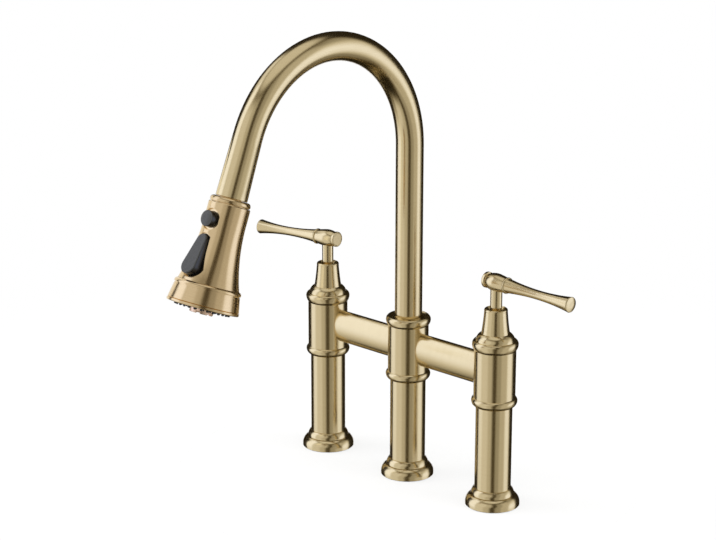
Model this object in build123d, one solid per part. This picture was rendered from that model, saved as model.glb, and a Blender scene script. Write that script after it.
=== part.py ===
from build123d import *
from math import copysign, cos, pi, radians, sin, sqrt
import os

# Pull-out kitchen faucet: three turned columns joined by a bridge, a gooseneck spout on the centre
# column with a pull-out spray head, and a quarter-turn lever on each side column.
# Millimetres. Origin on the deck under the centre column, +Z up, +X along the bridge, the spout
# leans towards -Y.

# Fits
fit = 0.1  # radial gap between pieces that are fixed to each other
running = 0.06  # radial gap of a turning or sliding fit
air = 0.3  # gap between pieces that pass each other
beyond = 100.0  # how far a cutting block goes past the piece it cuts

# Column layout
column_pitch = 101.6  # centre column to side column, so the two inlets are 203.2 mm apart
side_columns = {"left": -1, "right": 1}

# Feet
foot_radius = 23.6
foot_rim_height = 1.8
foot_curve_height = 7.4
foot_dome_swell = 3.9  # dome's top past the leg
foot_collar_swell = 2.8  # collar's foot past the leg
foot_collar_height = 6.5
foot_seam_depth = 0.6  # dome's top down to the collar's foot
foot_neck_height = 2.9  # how far a leg tube goes into its foot
foot_chamfer = 0.3
inlet_socket_radius = 9.315  # minor radius of a G1/2 thread
centre_socket_radius = 12.06  # minor radius of a G3/4 thread
gasket_width = 3.0
gasket_edge = 3.2  # rubber ring's outer edge to the foot's edge
gasket_depth = 1.5

# Leg tubes and lower beads
leg_step = 2.2  # legs inside the bodies over them
leg_wall = 2.0
leg_length = 80.0
bead_swell = 1.85  # beads past the bodies beside them
bead_fullness = 0.64  # share of a bead's height below its fattest place
bead_lap = 2.8  # how far a leg tube goes into its bead
bead_height = 8.2

# Bodies above the legs
body_radius = 18.0
spigot_radius = 14.5  # bodies' lower spigots and the bores that take them
body_floor = 10.4  # depth of solid metal over a body's lower face
chamber_height = 21.5  # solid floor up to the ledge in the upper bore
ledge_height = 10.3  # top of a body down to that ledge
bush_wall = 2.5  # spout's outside to the upper bore

# Bridge
bridge_lift = 0.6  # bridge axis over the middle of the chambers
bridge_half_height = 14.75  # the pipes are oval, with the long way upright
bridge_half_depth = 8.0
bridge_wall = 2.0
bridge_spigot_step = 1.1  # round spigots inside the pipe's flanks
bridge_spigot_bore = 4.5
bridge_spigot_reach = 4.5  # how far a spigot goes in from the body's outside
pipe_seal_radius = 0.75

# Centre column
chamber_radius = 13.0
hose_radius = 5.0
hose_bore = 3.2
hose_sleeve_wall = 0.9
hose_sleeve_tail = 1.0  # how far the sleeve shows under the cross body
hose_sleeve_flange = 2.4
mixed_tube_wall = 0.8
mixed_tube_gap = 0.6  # tube to the leg's wall
fitting_wall = 1.2  # hose fitting past the hose
fitting_gap = 1.0  # hose fitting to the mixed water tube
fitting_height = 14.0
fitting_nose = 3.5
fitting_lap = 10.0

# Upper bead over the centre column
top_ring_height = 8.0
top_ring_lip = 1.2
top_ring_cup = 1.8
top_ring_land = 0.8

# Spout
spout_radius = 12.1
spout_wall = 1.5
spout_rise = 301.0  # deck to the start of the bend
spout_bend_radius = 96.65
spout_sweep = 158.7
tail_length = 50.3
tail_swell = 1.0  # tail's end past the spout
spout_bottom_gap = 0.6
clip_height = 0.8
clip_depth = 0.6
bush_gap = 0.5  # bush's top to the ring over it
spout_seal_radius = 0.86
spout_seal_spacing = 4.5

# Dock at the gooseneck's end
dock_step = 0.4  # dock's bore past the spout's
dock_depth = 20.1
dock_wall = 2.2
magnet_height = 4.0

# Side columns above the valve bodies
bonnet_bead_height = 8.3
bonnet_dome_height = 6.5
bonnet_step = 1.0  # dome's foot inside the body's outside
bonnet_wall = 0.8  # bonnet's bore inside the cone's base
bonnet_ceiling = 7.2  # valve body's top up to the bonnet's inner shoulder
cone_height = 21.6
cone_base_radius = 12.2
cone_top_radius = 10.0
cone_rim = 1.2
cone_dish = 2.8
stem_radius = 5.12
stem_lap = 11.7  # cone's rim down to the stem's lower end
throat_length = 10.8  # cone's rim down to the lower end of its throat

# Cartridges
waterway_radius = 8.0
cavity_radius = 10.2
cartridge_gap = 0.4  # cartridge to its cavity
cartridge_wall = 1.2
cartridge_flange_radius = 12.5
cartridge_flange_height = 2.9
cartridge_neck_radius = 7.9
cartridge_neck_height = 24.0
disc_height = 3.0
disc_hole_radius = 2.4
driver_height = 3.9
nut_height = 6.2
nut_gap = 0.75  # nut's corners to the bore round it
spindle_radius = 4.0

# Levers
lever_rise = 22.6  # cone's rim up to the lever axis
lever_droop = 1.76
lever_turn = {"left": 6.4, "right": 0.0}  # degrees that each lever stands towards the front
hub_radius = 7.75
hub_neck_radius = 6.4
hub_front = 10.6
hub_back = 7.9
hub_belly = 1.5  # where the hub is fattest
cap_radius = 6.9
cap_thickness = 3.6
stud_radius = 3.0
stud_web = 0.9  # metal between the spindle's bore and a lever's stud
lever_tip = 80.9
lever_lip_radius = 6.9
lever_lip_length = 2.4
lever_root_radius = 6.2
lever_waist_radius = 3.98
lever_waist = 46.0
lever_end_radius = 6.5
lever_end_round = 1.6
set_screw_radius = 1.5
set_screw_length = 2.6
set_screw_height = 2.8  # below the lever axis

# Spray head, measured along its axis from the gooseneck's bend end
collar_inset = 0.65  # collar inside the shell's outside
collar_height = 5.0
collar_spigot_length = 14.5
collar_room = 0.6  # collar's bore round the hose end
collar_skirt_radius = 12.4
collar_skirt_length = 6.2
shell_radius = 17.05
shell_straight = 14.3  # straight top part of the shell
shell_flare = 50.8  # length of the flared part
shell_end_radius = 25.2
shell_wall = 3.85
shell_throat = 15.1  # lower end of the narrow cavity up from the shell's end
shell_lower_cavity = 16.5
shell_step = 1.3  # spigot inside the shell's end
shell_spigot_length = 4.5
shell_spigot_wall = 1.4
bezel_ledge = 2.0  # ledge past the shell's end
bezel_ledge_height = 3.4
bezel_groove = 0.8
bezel_height = 19.1
bezel_spread = 2.4  # rim past the ledge
bezel_lip_height = 2.6
plate_lap = 0.9  # plate's edge past the bezel's bore
plate_height = 4.6
plate_recess = 1.4  # rim's lower edge up to the plate's face
mat_height = 1.6
nozzle_radius = 0.95
nozzle_reach = 1.0  # how far a nozzle stands below the rim
nozzle_ring_counts = (14, 20, 28)
nozzle_inner_edge = 1.4  # inner ring of nozzles to the core's hub
nozzle_outer_edge = 2.9  # outer ring of nozzles to the plate's edge
aerator_radius = 10.4
aerator_reach = 4.7
aerator_taper = 1.0
aerator_recess = 1.6
aerator_top = 6.0

# Hose end
ferrule_wall = 1.4
ferrule_length = 24.3
nipple_length = 21.3
nipple_stem_radius = 4.6
nipple_stem_length = 9.7

# Waterway core
core_wall = 1.0  # metal over the diverter's bore
core_top_gap = 0.3
core_flange_height = 3.0
core_hub_wall = 1.3
valve_bore = 4.4
valve_length = 8.0
passage_radius = 2.4
channel_gap = 0.34  # water channel to the diverter's bore

# Round button
button_drop = 14.5  # shell's top edge down to the button's middle
button_radius = 6.5
button_rise = 3.85  # button's face over the shell
button_dome = 0.7
button_seat_radius = 8.9
button_sink = 2.15  # the button's flat seat below the shell's outside
button_hollow = 5.2
button_roof = 2.1
button_tab_gap = 0.6  # tabs to the cavity's roof
button_tab_reach = 8.0
button_tab_width = 5.0
button_tab_height = 1.2
plunger_radius = 1.8
plunger_drop = 1.8  # below the button's foot
spring_radius = 3.6
spring_wire = 0.3
spring_turns = 6

# Teardrop rocker
rocker_lift = 21.8  # rocker's middle up from the shell's end
rocker_rise = 7.15  # its face over the shell's straight part
rocker_tilt = 16.5  # slope of its face against the head's axis
rocker_big_radius = 7.6
rocker_small_radius = 5.2
rocker_half_length = 17.6
rocker_edge = 0.8
rocker_margin = 3.2  # width of the seat beside the rocker
rocker_end_margin = 1.3  # width of the seat past the rocker's ends
rocker_window_gap = 0.8
rocker_seat_rise = 1.15  # its seat over the shell's straight part
rocker_seat_slope = 6.0
rocker_skirt = 1.2  # how far its wall goes below the seat
pin_radius = 1.2
pin_length = 16.4
pin_drop = 2.0  # seat down to the pin
lug_half_width = 4.6
lug_half_length = 3.6
lug_drop = 4.2  # seat down to the lug's foot
tongue_half_width = 1.7
tongue_half_length = 1.5
tongue_lift = 0.2  # tongue's end over the diverter's axis
spool_radius = 2.6
spool_length = 24.0
spool_offset = 6.0
spool_notch = 0.4

# Radii that follow from the sizes above
leg_radius = body_radius - leg_step
bead_radius = body_radius + bead_swell
upper_bore_radius = spout_radius + bush_wall
bridge_spigot_radius = bridge_half_depth - bridge_spigot_step
fitting_radius = hose_radius + fitting_wall
mixed_tube_radius = (leg_radius - leg_wall - mixed_tube_gap - fitting_radius - fitting_gap) / 2
mixed_tube_offset = leg_radius - leg_wall - mixed_tube_gap - mixed_tube_radius
tail_radius = spout_radius + tail_swell
dock_radius = spout_radius - spout_wall + dock_step
dock_bore = dock_radius - fit - dock_wall
ferrule_radius = hose_radius + ferrule_wall
bonnet_dome_radius = body_radius - bonnet_step
bonnet_bore = cone_base_radius - bonnet_wall
cartridge_radius = cavity_radius - cartridge_gap
stud_length = hub_front - spindle_radius - stud_web - fit
collar_radius = shell_radius - collar_inset
collar_spigot_radius = dock_bore - air
collar_bore = ferrule_radius + collar_room
shell_cavity = shell_radius - shell_wall
shell_spigot_radius = shell_end_radius - shell_step
shell_spigot_bore = shell_spigot_radius - shell_spigot_wall
bezel_ledge_radius = shell_end_radius + bezel_ledge
bezel_end_radius = bezel_ledge_radius + bezel_spread
bezel_bore = shell_spigot_radius + fit
plate_radius = bezel_bore + plate_lap
aerator_nose_radius = aerator_radius - aerator_taper
core_radius = spool_offset + spool_radius + core_wall
core_hub_radius = aerator_radius + fit + core_hub_wall
channel_radius = spool_offset - spool_radius - running - channel_gap

# Heights over the spray head's axis
core_flat = core_radius - core_wall
button_face = shell_radius + button_rise
button_seat = shell_radius - button_sink
button_foot = shell_cavity - button_tab_height - button_tab_gap
plunger_reach = button_foot - plunger_drop
rocker_face = shell_radius + rocker_rise
rocker_seat = shell_radius + rocker_seat_rise
pin_height = rocker_seat - pin_drop
lug_foot = rocker_seat - lug_drop
tongue_foot = spool_offset + tongue_lift

# Heights on the columns
foot_seam = foot_rim_height + foot_curve_height - foot_seam_depth
foot_top = foot_seam + foot_collar_height
foot_seat = foot_top - foot_neck_height
leg_top = foot_seat + leg_length
bead_bottom = leg_top - bead_lap
spigot_bottom = leg_top + air
body_bottom = bead_bottom + bead_height
floor_top = body_bottom + body_floor
ledge = floor_top + chamber_height
body_top = ledge + ledge_height
bridge_axis = floor_top + chamber_height / 2 + bridge_lift
sleeve_top = ledge + hose_sleeve_flange
spout_bottom = sleeve_top + spout_bottom_gap
clip_bottom = spout_bottom + clip_height
bush_bottom = clip_bottom + clip_height + air
top_ring_seat = body_top + top_ring_height - top_ring_cup - top_ring_land
bush_top = top_ring_seat - bush_gap
bonnet_top = body_top + bonnet_bead_height + bonnet_dome_height
bonnet_shoulder = body_top + bonnet_ceiling
cone_top = bonnet_top + cone_height
stem_bottom = cone_top - stem_lap
lever_axis_height = cone_top + lever_rise
disc_seat = floor_top + 2 * fit
neck_top = ledge + cartridge_flange_height + cartridge_neck_height

# Stations along the spray head
collar_top = tail_length + air
shell_top = collar_top + collar_height
flare_start = shell_top + shell_straight
shell_end = flare_start + shell_flare
cavity_end = shell_end - shell_throat
button_station = shell_top + button_drop
rocker_station = shell_end - rocker_lift
core_top = shell_top + collar_skirt_length + core_top_gap
nipple_start = core_top - air - nipple_length
ferrule_start = nipple_start - 2 * fit - ferrule_length
flange_top = shell_end + 1.4
bezel_top = shell_end + fit
bezel_end = bezel_top + bezel_height
plate_face = bezel_end - plate_recess
plate_back = plate_face - plate_height
mat_back = plate_back - mat_height - fit
nozzle_tip = bezel_end + nozzle_reach
aerator_tip = bezel_end + aerator_reach


def turned(start, *steps):
    # A closed profile of (radius, height) points, turned about Z. A step of four numbers is an arc:
    # the point it passes through, then the point it ends at.
    edges = []
    here = start
    for step in steps:
        if len(step) == 4:
            edges.append(ThreePointArc((here[0], 0, here[1]), (step[0], 0, step[1]), (step[2], 0, step[3])))
            here = step[2:]
        else:
            edges.append(Line((here[0], 0, here[1]), (step[0], 0, step[1])))
            here = step
    edges.append(Line((here[0], 0, here[1]), (start[0], 0, start[1])))
    return revolve(make_face(edges), Axis.Z, 360)


def rod(radius, low, high, bore=0):
    # A round bar or tube on Z from one height to another.
    solid = Pos(0, 0, low) * Cylinder(radius, high - low, align=(Align.CENTER, Align.CENTER, Align.MIN))
    if bore:
        solid -= Pos(0, 0, low) * Cylinder(bore, high - low, align=(Align.CENTER, Align.CENTER, Align.MIN))
    return solid


def arc_middle(wall, end):
    # The middle of an arc that leaves an upright wall at one point and reaches the other.
    run = end[1] - wall[1]
    swell = end[0] - wall[0]
    radius = (run**2 + swell**2) / (2 * swell)
    bow = radius - copysign(sqrt(radius**2 - (run / 2) ** 2), radius)
    return (wall[0] + bow, wall[1] + run / 2)


def flare_step(waist, end):
    # An arc that leaves a straight wall at the waist and reaches the end point.
    return (*arc_middle(waist, end), *end)


def bead_steps(low, high):
    # The bulging outside of a bead: an arc up to its fattest place and one on to its upper edge.
    fattest = (bead_radius, low[1] + bead_fullness * (high[1] - low[1]))
    return (*arc_middle(fattest, low), *fattest), (*arc_middle(fattest, high), *high)


def ring(radius, thickness, height):
    # A rubber ring of round section, lying level.
    return Pos(0, 0, height) * Torus(radius, thickness)


def at_column(side, solid):
    # Moves a piece from the centre axis to a side column.
    return Pos(side * column_pitch, 0, 0) * solid


def on_front(station):
    # A place on the spray head's axis whose Z points out of the head's front.
    return Pos(0, 0, station) * Rot(-90, 0, 0)


def crossways(height, station):
    # A place over the spray head's axis whose Z runs across the head.
    return Pos(0, height, station) * Rot(0, 90, 0)


# Frame along the spray head: its Z runs down the head's axis from the bend's end, its Y points out
# of the head's front, where the buttons are.
sweep_angle = radians(spout_sweep)
bend_end = (-spout_bend_radius * (1 - cos(sweep_angle)), spout_rise + spout_bend_radius * sin(sweep_angle))
head_frame = Plane(
    origin=(0, bend_end[0], bend_end[1]),
    x_dir=(1, 0, 0),
    z_dir=(0, -sin(sweep_angle), cos(sweep_angle)),
)


def in_head(solid):
    return head_frame * solid


# Feet, legs and beads
def foot(socket_radius):
    dome_radius = leg_radius + foot_dome_swell
    dome_top = foot_rim_height + foot_curve_height
    neck_radius = leg_radius + foot_collar_swell
    solid = turned(
        (socket_radius, 0),
        (foot_radius - foot_chamfer, 0),
        (foot_radius, foot_chamfer),
        (foot_radius, foot_rim_height),
        (
            dome_radius + 0.69 * (foot_radius - dome_radius),
            foot_rim_height + 0.62 * foot_curve_height,
            dome_radius,
            dome_top,
        ),
        (dome_radius - foot_seam_depth, dome_top),
        (dome_radius - foot_seam_depth, foot_seam),
        (neck_radius, foot_seam),
        (neck_radius - 0.2, foot_seam + 0.52 * foot_collar_height, leg_radius + 0.7, foot_top),
        (leg_radius + fit, foot_top),
        (leg_radius + fit, foot_seat),
        (socket_radius, foot_seat),
    )
    groove_outer = foot_radius - gasket_edge
    return solid - rod(groove_outer, 0, gasket_depth, groove_outer - gasket_width)


def foot_gaskets():
    outer = foot_radius - gasket_edge - fit
    gasket = rod(outer, 0, gasket_depth - fit, outer - gasket_width + 2 * fit)
    return Compound([Pos(x * column_pitch, 0, 0) * gasket for x in (-1, 0, 1)])


def leg():
    return rod(leg_radius, foot_seat, leg_top, leg_radius - leg_wall)


def lower_bead():
    return turned(
        (leg_radius + fit, bead_bottom),
        *bead_steps((leg_radius + fit, bead_bottom), (body_radius, body_bottom)),
        (spigot_radius + fit, body_bottom),
        (spigot_radius + fit, leg_top),
        (leg_radius + fit, leg_top),
    )


# Centre column
def cross_body():
    sleeve_hole = hose_radius + air + hose_sleeve_wall + fit
    solid = turned(
        (sleeve_hole, spigot_bottom),
        (spigot_radius, spigot_bottom),
        (spigot_radius, body_bottom),
        (body_radius, body_bottom),
        (body_radius, body_top),
        (upper_bore_radius, body_top),
        (upper_bore_radius, ledge),
        (chamber_radius, ledge),
        (chamber_radius, floor_top),
        (sleeve_hole, floor_top),
    )
    ports = Pos(0, 0, bridge_axis) * Rot(0, 90, 0) * Cylinder(bridge_spigot_radius + fit, 2 * body_radius + 2)
    tube_hole = rod(mixed_tube_radius + fit / 2, spigot_bottom - 1, floor_top + 1)
    tube_hole = Pos(0, mixed_tube_offset, 0) * tube_hole
    return solid - ports - tube_hole


def hose_sleeve():
    inner = hose_radius + air
    outer = inner + hose_sleeve_wall
    flange = upper_bore_radius - fit
    return turned(
        (inner, spigot_bottom - hose_sleeve_tail),
        (outer, spigot_bottom - hose_sleeve_tail),
        (outer, ledge),
        (flange, ledge),
        (flange, sleeve_top),
        (inner, sleeve_top),
    )


def mixed_water_tube():
    bottom = foot_seat + 2 * air
    tube = rod(mixed_tube_radius, bottom, floor_top, mixed_tube_radius - mixed_tube_wall)
    return Pos(0, mixed_tube_offset, 0) * tube


def top_ring():
    top = body_top + top_ring_height
    bead_end = body_radius + 0.6
    lip = bead_end - top_ring_lip
    clear = spout_radius + air
    return turned(
        (upper_bore_radius, body_top),
        (body_radius, body_top),
        *bead_steps((body_radius, body_top), (bead_end, top - 0.5)),
        (bead_end - 0.35 * top_ring_lip, top - 0.1, lip, top),
        (clear + 0.35 * (lip - clear), top - 0.85 * top_ring_cup, clear, top - top_ring_cup),
        (clear, top_ring_seat),
        (upper_bore_radius, top_ring_seat),
    )


def spout_bush():
    inner = spout_radius + running
    solid = rod(upper_bore_radius - fit, bush_bottom, bush_top, inner)
    middle = (bush_bottom + bush_top) / 2
    for shift in (-0.5, 0.5):
        height = middle + shift * spout_seal_spacing
        groove = spout_seal_radius + fit
        solid -= rod(inner + 2 * groove, height - groove, height + groove, inner - fit)
    return solid


# Bridge between the bodies
seal_station = body_radius - bridge_spigot_reach / 2  # rubber ring to the axis of the column it seals


def oval_rod(inset, start):
    # The pipe's oval, or one inside it, from a place beside one column to the like place by the next.
    oval = Ellipse(bridge_half_height - inset, bridge_half_depth - inset)
    return Pos(0, 0, start) * extrude(oval, column_pitch - 2 * start)


def bridge_pipe(side):
    reach = body_radius - bridge_spigot_reach
    length = column_pitch - 2 * reach
    pipe = rod(bridge_spigot_radius, reach, reach + length)
    body = oval_rod(0, chamber_radius / 2)
    for x in (0, column_pitch):
        body -= Pos(0, 0, x) * Rot(0, 90, 0) * Cylinder(body_radius + fit, 4 * bridge_half_height)
    pipe += body
    pipe -= rod(bridge_spigot_bore, 0, column_pitch)
    pipe -= oval_rod(bridge_wall, body_radius + 4)
    groove_floor = bridge_spigot_radius - 2 * pipe_seal_radius
    for x in (seal_station, column_pitch - seal_station):
        half = pipe_seal_radius + fit
        pipe -= rod(bridge_spigot_radius + 1, x - half, x + half, groove_floor)
    return Pos(0, 0, bridge_axis) * Rot(0, side * 90, 0) * pipe


def pipe_seals():
    rings = []
    for side in side_columns.values():
        for x in (seal_station, column_pitch - seal_station):
            seal = Torus(bridge_spigot_radius + fit - pipe_seal_radius - fit / 2, pipe_seal_radius)
            rings.append(Pos(side * x, 0, bridge_axis) * Rot(0, 90, 0) * seal)
    middle = (bush_bottom + bush_top) / 2
    for shift in (-0.5, 0.5):
        height = middle + shift * spout_seal_spacing
        rings.append(ring(spout_radius + 2 * running + spout_seal_radius, spout_seal_radius, height))
    return Compound(rings)


# Side columns
def valve_body(side):
    solid = turned(
        (waterway_radius, spigot_bottom),
        (spigot_radius, spigot_bottom),
        (spigot_radius, body_bottom),
        (body_radius, body_bottom),
        (body_radius, body_top),
        (upper_bore_radius, body_top),
        (upper_bore_radius, ledge),
        (cavity_radius, ledge),
        (cavity_radius, floor_top),
        (waterway_radius, floor_top),
    )
    wide = rod(bridge_spigot_radius + fit, body_radius - bridge_spigot_reach - air, body_radius + 1)
    narrow = rod(bridge_spigot_bore, waterway_radius, body_radius)
    port = Pos(0, 0, bridge_axis) * Rot(0, -side * 90, 0) * (wide + narrow)
    return at_column(side, solid - port)


def bonnet(side):
    bead_top = body_top + bonnet_bead_height
    dome_base = bonnet_dome_radius
    dome_end = cone_base_radius + 0.2
    solid = turned(
        (upper_bore_radius, body_top),
        (body_radius, body_top),
        *bead_steps((body_radius, body_top), (dome_base + 1.4, bead_top)),
        (dome_base, bead_top),
        (
            (dome_base + dome_end) / 2 + 1.0,
            bead_top + 0.53 * bonnet_dome_height,
            dome_end,
            bonnet_top,
        ),
        (bonnet_bore, bonnet_top),
        (bonnet_bore, bonnet_shoulder),
        (upper_bore_radius, bonnet_shoulder),
    )
    return at_column(side, solid)


def cone_sleeve(side):
    inner = cartridge_neck_radius + 4 * fit
    throat = stem_radius + air
    throat_bottom = cone_top - throat_length
    solid = turned(
        (inner, bonnet_shoulder + fit),
        (bonnet_bore - fit, bonnet_shoulder + fit),
        (bonnet_bore - fit, bonnet_top),
        (cone_base_radius, bonnet_top),
        (
            (cone_base_radius + cone_top_radius) / 2 - 0.15,
            bonnet_top + 0.42 * cone_height,
            cone_top_radius,
            cone_top - 1.8 * cone_rim,
        ),
        (cone_top_radius - 0.25 * cone_rim, cone_top - 0.5 * cone_rim, cone_top_radius - cone_rim, cone_top),
        (throat + 0.6, cone_top - cone_dish),
        (throat, cone_top - cone_dish),
        (throat, throat_bottom),
        (inner, throat_bottom - (inner - throat)),
    )
    return at_column(side, solid)


# Cartridges
def cartridge(side):
    chamber = cartridge_radius - cartridge_wall
    chamber_top = disc_seat + 2 * disc_height + driver_height + 3 * fit + air
    bore = spindle_radius + running
    solid = turned(
        (chamber, floor_top + fit / 2),
        (cartridge_radius, floor_top + fit / 2),
        (cartridge_radius, ledge + fit / 2),
        (cartridge_flange_radius, ledge + fit / 2),
        (cartridge_flange_radius, ledge + cartridge_flange_height),
        (cartridge_neck_radius, ledge + cartridge_flange_height),
        (cartridge_neck_radius, neck_top),
        (bore, neck_top),
        (bore, chamber_top),
        (chamber, chamber_top),
    )
    window_height = driver_height + disc_height
    window_middle = disc_seat + disc_height + window_height / 2
    window = Pos(0, 0, window_middle) * Box(3 * cartridge_radius, 7, window_height)
    return at_column(side, solid - window)


def ceramic_disc(side, radius, bottom, turn):
    disc = rod(radius, bottom, bottom + disc_height)
    for angle in (0, 180):
        hole = Pos(radius / 2, 0, 0) * rod(disc_hole_radius, bottom - 1, bottom + disc_height + 1)
        disc -= Rot(0, 0, turn + angle) * hole
    return at_column(side, disc)


def fixed_discs():
    radius = cartridge_radius - cartridge_wall - fit
    return Compound([ceramic_disc(side, radius, disc_seat, 0) for side in side_columns.values()])


def moving_disc(side):
    bottom = disc_seat + disc_height + fit / 2
    return ceramic_disc(side, cartridge_radius - cartridge_wall - air, bottom, 90)


def cartridge_nuts():
    bottom = ledge + cartridge_flange_height + fit / 2
    hexagon = extrude(RegularPolygon(upper_bore_radius - nut_gap, 6), nut_height)
    nut = Pos(0, 0, bottom) * hexagon
    nut -= rod(cartridge_neck_radius + fit, bottom - 1, bottom + nut_height + 1)
    return Compound([at_column(side, nut) for side in side_columns.values()])


def spindle(side):
    driver_bottom = disc_seat + 2 * disc_height + 2 * fit
    driver_top = driver_bottom + driver_height
    driver_radius = cartridge_radius - cartridge_wall - air
    solid = turned(
        (0, driver_bottom),
        (driver_radius, driver_bottom),
        (driver_radius, driver_top),
        (spindle_radius, driver_top),
        (spindle_radius, lever_axis_height),
        (0, lever_axis_height),
    )
    return at_column(side, solid)


# Levers. A lever's own frame has its Z along the lever and its X to the back.
def lever_frame(name):
    side = side_columns[name]
    turn = radians(lever_turn[name])
    droop = radians(lever_droop)
    return Plane(
        origin=(side * column_pitch, 0, lever_axis_height),
        x_dir=(side * sin(turn), cos(turn), 0),
        z_dir=(side * cos(turn) * cos(droop), -sin(turn) * cos(droop), -sin(droop)),
    )


def hub(name):
    side = side_columns[name]
    barrel = turned(
        (0, -hub_back),
        (hub_neck_radius - 0.3, -hub_back),
        (hub_radius - 0.35, -0.5 * hub_back, hub_radius, hub_belly),
        (hub_radius - 0.55, hub_belly + 0.5 * (hub_front - hub_belly), hub_neck_radius, hub_front),
        (0, hub_front),
    )
    stem = rod(stem_radius, stem_bottom, lever_axis_height)
    solid = lever_frame(name) * barrel + at_column(side, stem)
    front_hole = rod(stud_radius + fit, hub_front - stud_length - fit, hub_front + 1)
    back_hole = rod(stud_radius + fit, -hub_back - 1, -hub_back + cap_thickness - 1)
    solid -= lever_frame(name) * front_hole
    solid -= lever_frame(name) * back_hole
    solid -= at_column(side, rod(spindle_radius + fit, stem_bottom - 1, lever_axis_height + air))
    return solid - set_screw_place(name) * rod(set_screw_radius + fit / 2, spindle_radius, 2 * hub_radius)


def set_screw_place(name):
    # A place on a side column whose Z points out of the hub's back.
    side = side_columns[name]
    turn = side * lever_turn[name]
    place = Pos(side * column_pitch, 0, lever_axis_height - set_screw_height)
    return place * Rot(0, 0, -turn) * Rot(-90, 0, 0)


def set_screw(name):
    near = spindle_radius + fit
    far = near + set_screw_length
    socket = Pos(0, 0, far) * extrude(RegularPolygon(set_screw_radius / 2, 6), -set_screw_length / 2)
    return set_screw_place(name) * (rod(set_screw_radius, near, far) - socket)


def hub_cap(name):
    outer = -hub_back - fit
    face = outer - cap_thickness
    solid = turned(
        (0, outer),
        (hub_neck_radius - 0.5, outer),
        (hub_neck_radius - 0.5, outer - 0.5),
        (cap_radius, outer - 1.0),
        (cap_radius, face + 0.8),
        (cap_radius - 0.25, face + 0.2, cap_radius - 0.9, face),
        (cap_radius - 1.5, face + 0.35),
        (0, face + 0.35),
    )
    solid += rod(stud_radius, outer, outer + cap_thickness - 1)
    return lever_frame(name) * solid


def lever(name):
    start = hub_front + fit
    root = start + lever_lip_length
    end = lever_tip - lever_end_round
    back_flare = flare_step((lever_waist_radius, -lever_waist), (lever_root_radius, -root))
    solid = turned(
        (0, start),
        (lever_lip_radius - 0.6, start),
        (lever_lip_radius + 0.15, start + 0.5 * lever_lip_length, lever_lip_radius - 0.6, root),
        (lever_root_radius, root),
        (back_flare[0], -back_flare[1], lever_waist_radius, lever_waist),
        flare_step((lever_waist_radius, lever_waist), (lever_end_radius, end)),
        (lever_end_radius + 0.1, end + 0.4 * lever_end_round, lever_end_radius - 0.5, lever_tip - 0.5),
        (0.6 * lever_end_radius, lever_tip - 0.1, 0.2 * lever_end_radius, lever_tip),
        (0, lever_tip),
    )
    solid += rod(stud_radius, start - stud_length, start)
    return lever_frame(name) * solid


# Spout
def bend_along(profile):
    # Carries a level profile at the top of the riser round the gooseneck's bend.
    axis = Axis((0, -spout_bend_radius, spout_rise), (1, 0, 0))
    return revolve(Pos(0, 0, spout_rise) * profile, axis, spout_sweep)


def gooseneck_tube():
    inner = spout_radius - spout_wall
    riser = rod(spout_radius, spout_bottom, spout_rise, inner)
    clip_top = clip_bottom + clip_height
    groove = rod(spout_radius + 1, clip_bottom - fit, clip_top + fit, spout_radius - clip_depth)
    bend = bend_along(Circle(spout_radius) - Circle(inner))
    tail = turned(
        (inner, 0),
        (spout_radius, 0),
        (tail_radius, tail_length - 0.4),
        (tail_radius - 0.4, tail_length),
        (dock_radius, tail_length),
        (dock_radius, tail_length - dock_depth),
        (inner, tail_length - dock_depth),
    )
    return (riser - groove) + bend + in_head(tail)


def spout_clip():
    inner = spout_radius - clip_depth + fit
    solid = rod(spout_radius + 1.8, clip_bottom, clip_bottom + clip_height, inner)
    gap = Pos(0, spout_radius, clip_bottom) * Box(2.4, 6, 4)
    return solid - gap


def dock_sleeve():
    top = tail_length - dock_depth + fit
    return in_head(rod(dock_radius - fit, top, tail_length - magnet_height - fit, dock_bore))


def dock_magnet():
    return in_head(rod(dock_radius - fit, tail_length - magnet_height, tail_length - fit, dock_bore))


def hose_bottom():
    return foot_seat + fitting_height - fitting_lap + 4.0


def spray_hose():
    profile = Circle(hose_radius) - Circle(hose_bore)
    riser = rod(hose_radius, hose_bottom(), spout_rise, hose_bore)
    end = in_head(rod(hose_radius, 0, ferrule_start - air, hose_bore))
    return riser + bend_along(profile) + end


def hose_lower_fitting():
    bottom = hose_bottom() - 4.0
    nose = bottom - fitting_nose
    return turned(
        (hose_bore - 0.7, nose),
        (hose_bore + 0.6, nose),
        (hose_bore + 0.6, bottom),
        (fitting_radius, bottom),
        (fitting_radius, bottom + fitting_height),
        (hose_radius + fit, bottom + fitting_height),
        (hose_radius + fit, hose_bottom() - fit),
        (hose_bore - 0.7, hose_bottom() - fit),
    )


# Hose end
def hose_ferrule():
    solid = rod(ferrule_radius, ferrule_start, ferrule_start + ferrule_length, hose_bore)
    for k in range(3):
        groove = ferrule_start + 4.0 + 4.5 * k
        solid -= rod(ferrule_radius + 1, groove, groove + 1.8, ferrule_radius - 0.5)
    return in_head(solid)


def hose_nipple():
    shoulder = nipple_start + nipple_length
    solid = turned(
        (hose_bore - 0.7, nipple_start),
        (ferrule_radius, nipple_start),
        (ferrule_radius, shoulder),
        (nipple_stem_radius, shoulder),
        (nipple_stem_radius, shoulder + nipple_stem_length),
        (hose_bore - 0.7, shoulder + nipple_stem_length),
    )
    return in_head(solid)


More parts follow.
